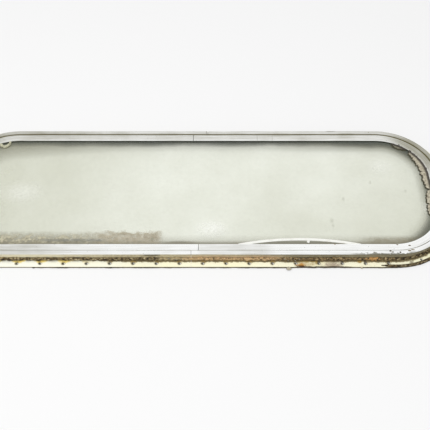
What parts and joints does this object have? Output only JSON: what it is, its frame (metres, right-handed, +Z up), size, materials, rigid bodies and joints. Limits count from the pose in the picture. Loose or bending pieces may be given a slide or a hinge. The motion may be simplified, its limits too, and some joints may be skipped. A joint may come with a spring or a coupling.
{
  "type": "caravan window",
  "caption": "Long horizontal caravan window with rounded ends: flanged aluminium frame, sloping glazing ring and glass pane in a rubber channel, with worn mastic and sealant.",
  "frame": {"origin": "back face of the screw flange, on the line of the lower screw holes, at mid length", "axes": "+X along the window to the right seen from outside, +Y into the caravan wall, +Z up"},
  "size_m": [0.904, 0.018, 0.3099],
  "materials": {
    "frame": "worn mill aluminium, cream paint left on the flange",
    "ring": "bright satin aluminium with scratches",
    "splice": "dull sheared plate",
    "glass": "dusty float glass with a faint green tint",
    "rubber": "perished black rubber",
    "mastic": "crumbling brown bedding mastic",
    "strip": "flexible white plastic",
    "sealant": "torn tan sealant"
  },
  "bodies": {
    "root": {"outer_frame_left": "frame", "outer_frame_right": "frame", "glazing_ring_left": "ring", "glazing_ring_right": "ring", "top_splice_plate": "splice", "bottom_splice_plate": "splice", "glass_pane": "glass", "glazing_channel": "rubber", "mastic_bead_top": "mastic", "mastic_bead_bottom": "mastic", "mastic_bead_left": "mastic", "mastic_bead_right": "mastic", "loose_glazing_strip": "strip", "squeezed_sealant_left": "sealant", "squeezed_sealant_right": "sealant", "sealant_flake": "sealant"}
  },
  "joints": []
}
